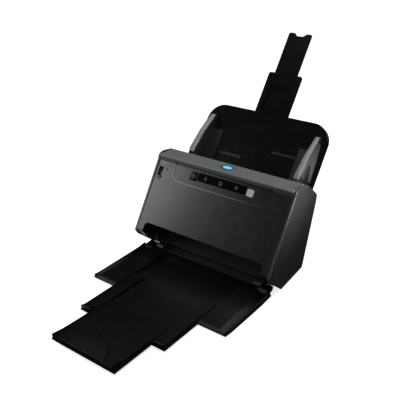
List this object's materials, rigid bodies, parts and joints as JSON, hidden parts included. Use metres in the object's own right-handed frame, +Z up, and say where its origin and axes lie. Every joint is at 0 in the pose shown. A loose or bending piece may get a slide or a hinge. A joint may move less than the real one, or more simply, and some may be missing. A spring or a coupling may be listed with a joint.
{
  "type": "document scanner",
  "caption": "Desktop sheet-fed document scanner with a leaning front unit that opens, a feed tray with guides and a telescoping eject tray.",
  "frame": {"origin": "on the table, under the middle of the scanner's box with every tray pulled out", "axes": "+X to the right of someone who faces the scanner, +Y to its back, +Z up"},
  "size_m": [0.291, 0.6054, 0.3637],
  "materials": {
    "cover_grey": "satin dark grey moulded shell",
    "face_black": "satin black moulded face",
    "band_silver": "dark silver satin paint",
    "gloss_black": "polished black",
    "tray_black": "glossy black moulded tray",
    "guide_grey": "fine textured silver grey",
    "light_blue": "clear blue lens",
    "key_silver": "silver paint",
    "inner_black": "plain inner moulding",
    "rubber": "ground rubber",
    "steel": "turned steel",
    "gear_white": "natural nylon",
    "bush_bronze": "sintered bronze",
    "board_green": "printed circuit board",
    "scan_glass": "clear glass"
  },
  "bodies": {
    "root": {"bottom_plate": "inner_black", "rubber_feet": "rubber", "left_side_cover": "cover_grey", "right_side_cover": "cover_grey", "rear_cover": "cover_grey", "left_frame": "inner_black", "right_frame": "inner_black", "roller_bearings": "bush_bronze", "rear_guide": "inner_black", "rear_scan_unit": "inner_black", "rear_scan_glass": "scan_glass", "main_board": "board_green", "rear_ports": "steel", "drive_motor": "steel", "feed_tray": "tray_black", "feed_tray_back": "tray_black", "eject_hinge_pins": "steel"},
    "front_unit": {"front_cover": "face_black", "front_hinge_pins": "steel", "top_band": "band_silver", "status_light": "light_blue", "control_panel": "face_black", "key_strip": "gloss_black", "panel_board": "board_green", "front_guide": "inner_black", "front_scan_unit": "inner_black", "front_scan_glass": "scan_glass", "separation_holder": "inner_black"},
    "feed_roller": {"feed_shaft": "steel", "feed_tyre": "rubber", "feed_gear": "gear_white"},
    "transport_roller": {"transport_shaft": "steel", "transport_tyres": "rubber", "transport_gear": "gear_white"},
    "exit_roller": {"exit_shaft": "steel", "exit_tyres": "rubber", "exit_gear": "gear_white"},
    "upper_idler": {"upper_idler": "gear_white"},
    "middle_idler": {"middle_idler": "gear_white"},
    "lower_idler": {"lower_idler": "gear_white"},
    "motor_pinion": {"motor_pinion": "steel"},
    "separation_roller": {"separation_roller": "rubber"},
    "upper_pinch_roller": {"upper_pinch_roller": "inner_black"},
    "lower_pinch_roller": {"lower_pinch_roller": "inner_black"},
    "right_guide": {"right_guide": "guide_grey"},
    "left_guide": {"left_guide": "guide_grey"},
    "guide_pinion": {"guide_pinion": "gear_white"},
    "extension_lower": {"extension_lower": "tray_black"},
    "extension_upper": {"extension_upper": "tray_black"},
    "eject_tray": {"eject_tray": "tray_black"},
    "middle_tray": {"middle_tray": "tray_black"},
    "front_tray": {"front_tray": "tray_black"},
    "stopper_flap": {"stopper_flap": "tray_black"},
    "feed_lever": {"feed_lever": "inner_black"},
    "open_lever": {"open_lever": "inner_black"},
    "power_button": {"power_button": "gloss_black"},
    "start_button": {"start_button": "key_silver"},
    "function_key_1": {"function_key_1": "gloss_black"},
    "function_key_2": {"function_key_2": "gloss_black"},
    "function_key_3": {"function_key_3": "gloss_black"}
  },
  "joints": [
    {"name": "front_unit_hinge", "type": "hinge", "parent": "root", "child": "front_unit", "pos_m": [0, -0.00674, 0.036], "axis": [1, 0, 0], "range_deg": [0, 55]},
    {"name": "feed_spin", "type": "hinge", "parent": "root", "child": "feed_roller", "pos_m": [0, 0.1039, 0.09311], "axis": [1, 0, 0], "continuous": true},
    {"name": "transport_spin", "type": "hinge", "parent": "root", "child": "transport_roller", "pos_m": [0, 0.09041, 0.07573], "axis": [1, 0, 0], "continuous": true},
    {"name": "exit_spin", "type": "hinge", "parent": "root", "child": "exit_roller", "pos_m": [0, 0.06484, 0.04116], "axis": [1, 0, 0], "continuous": true},
    {"name": "upper_idler_spin", "type": "hinge", "parent": "root", "child": "upper_idler", "pos_m": [0, 0.10534, 0.07718], "axis": [1, 0, 0], "continuous": true},
    {"name": "middle_idler_spin", "type": "hinge", "parent": "root", "child": "middle_idler", "pos_m": [0, 0.08419, 0.05358], "axis": [1, 0, 0], "continuous": true},
    {"name": "lower_idler_spin", "type": "hinge", "parent": "root", "child": "lower_idler", "pos_m": [0, 0.07576, 0.02814], "axis": [1, 0, 0], "continuous": true},
    {"name": "motor_spin", "type": "hinge", "parent": "root", "child": "motor_pinion", "pos_m": [0, 0.08412, 0.01818], "axis": [1, 0, 0], "continuous": true},
    {"name": "separation_spin", "type": "hinge", "parent": "front_unit", "child": "separation_roller", "pos_m": [0, 0.08919, 0.104], "axis": [1, 0, 0], "continuous": true},
    {"name": "upper_pinch_spin", "type": "hinge", "parent": "front_unit", "child": "upper_pinch_roller", "pos_m": [0, 0.07852, 0.08453], "axis": [1, 0, 0], "continuous": true},
    {"name": "lower_pinch_spin", "type": "hinge", "parent": "front_unit", "child": "lower_pinch_roller", "pos_m": [0, 0.05294, 0.04996], "axis": [1, 0, 0], "continuous": true},
    {"name": "right_guide_slide", "type": "slide", "parent": "root", "child": "right_guide", "axis": [1, 0, 0], "range_m": [-0.08, 0.0025]},
    {"name": "left_guide_slide", "type": "slide", "parent": "root", "child": "left_guide", "axis": [1, 0, 0], "range_m": [-0.0025, 0.08]},
    {"name": "guide_pinion_spin", "type": "hinge", "parent": "root", "child": "guide_pinion", "pos_m": [0, 0.15358, 0.16831], "axis": [0, -0.8039, 0.5948], "range_deg": [-20, 580]},
    {"name": "extension_lower_slide", "type": "slide", "parent": "root", "child": "extension_lower", "axis": [0, 0.5948, 0.8039], "range_m": [-0.083, 0]},
    {"name": "extension_upper_slide", "type": "slide", "parent": "extension_lower", "child": "extension_upper", "axis": [0, 0.5948, 0.8039], "range_m": [-0.072, 0]},
    {"name": "eject_tray_hinge", "type": "hinge", "parent": "root", "child": "eject_tray", "pos_m": [0, 0.00126, 0.008], "axis": [1, 0, 0], "range_deg": [-48, 0]},
    {"name": "middle_tray_slide", "type": "slide", "parent": "eject_tray", "child": "middle_tray", "axis": [0, -1, 0], "range_m": [-0.075, 0]},
    {"name": "front_tray_slide", "type": "slide", "parent": "middle_tray", "child": "front_tray", "axis": [0, -1, 0], "range_m": [-0.075, 0]},
    {"name": "stopper_hinge", "type": "hinge", "parent": "front_tray", "child": "stopper_flap", "pos_m": [0, -0.29954, 0.0107], "axis": [1, 0, 0], "range_deg": [0, 85]},
    {"name": "feed_lever_hinge", "type": "hinge", "parent": "front_unit", "child": "feed_lever", "pos_m": [0, 0.06092, 0.1249], "axis": [-1, 0, 0], "range_deg": [0, 29]},
    {"name": "open_lever_hinge", "type": "hinge", "parent": "front_unit", "child": "open_lever", "pos_m": [0, 0.07126, 0.148], "axis": [1, 0, 0], "range_deg": [0, 12]},
    {"name": "power_press", "type": "slide", "parent": "front_unit", "child": "power_button", "axis": [0, 0.839, -0.5442], "range_m": [0, 0.0008], "stiffness_N_per_m": 300},
    {"name": "start_press", "type": "slide", "parent": "front_unit", "child": "start_button", "axis": [0, 0.839, -0.5442], "range_m": [0, 0.0008], "stiffness_N_per_m": 300},
    {"name": "key_1_press", "type": "slide", "parent": "front_unit", "child": "function_key_1", "axis": [0, 0.839, -0.5442], "range_m": [0, 0.0008], "stiffness_N_per_m": 300},
    {"name": "key_2_press", "type": "slide", "parent": "front_unit", "child": "function_key_2", "axis": [0, 0.839, -0.5442], "range_m": [0, 0.0008], "stiffness_N_per_m": 300},
    {"name": "key_3_press", "type": "slide", "parent": "front_unit", "child": "function_key_3", "axis": [0, 0.839, -0.5442], "range_m": [0, 0.0008], "stiffness_N_per_m": 300}
  ],
  "couplings": [
    {"joint": "transport_spin", "follows": "feed_spin", "ratio": 1.1111},
    {"joint": "exit_spin", "follows": "feed_spin", "ratio": 1.1111},
    {"joint": "upper_idler_spin", "follows": "feed_spin", "ratio": -1.6667},
    {"joint": "middle_idler_spin", "follows": "feed_spin", "ratio": -0.71429},
    {"joint": "lower_idler_spin", "follows": "feed_spin", "ratio": -1.25},
    {"joint": "motor_spin", "follows": "feed_spin", "ratio": 2},
    {"joint": "separation_spin", "follows": "feed_spin", "ratio": -1},
    {"joint": "upper_pinch_spin", "follows": "feed_spin", "ratio": -1.5741},
    {"joint": "lower_pinch_spin", "follows": "feed_spin", "ratio": -1.5741},
    {"joint": "left_guide_slide", "follows": "right_guide_slide", "ratio": -1},
    {"joint": "guide_pinion_spin", "follows": "right_guide_slide", "rad_per_m": -125}
  ]
}
